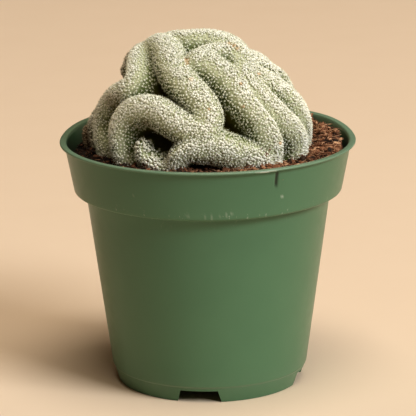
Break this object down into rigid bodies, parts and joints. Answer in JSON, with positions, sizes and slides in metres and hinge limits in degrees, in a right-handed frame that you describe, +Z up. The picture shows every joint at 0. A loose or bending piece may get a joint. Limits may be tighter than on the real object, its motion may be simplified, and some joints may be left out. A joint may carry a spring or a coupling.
{
  "type": "potted brain cactus",
  "caption": "Crested brain cactus, a low dome of meandering woolly folds set with short white spines, in soil in a round tapered nursery pot with a lip and collar.",
  "frame": {"origin": "on the pot's axis at the level it stands on", "axes": "+Z up along the pot's axis, -Y towards the front that the picture shows"},
  "size_m": [0.108, 0.108, 0.1324],
  "materials": {
    "pot_plastic": "injection moulded, satin",
    "soil": "loose coir and peat crumbs, matte",
    "cactus_flesh": "green flesh under white wool and spines, matte"
  },
  "bodies": {
    "root": {"pot": "pot_plastic", "soil": "soil", "cactus": "cactus_flesh"}
  },
  "joints": []
}
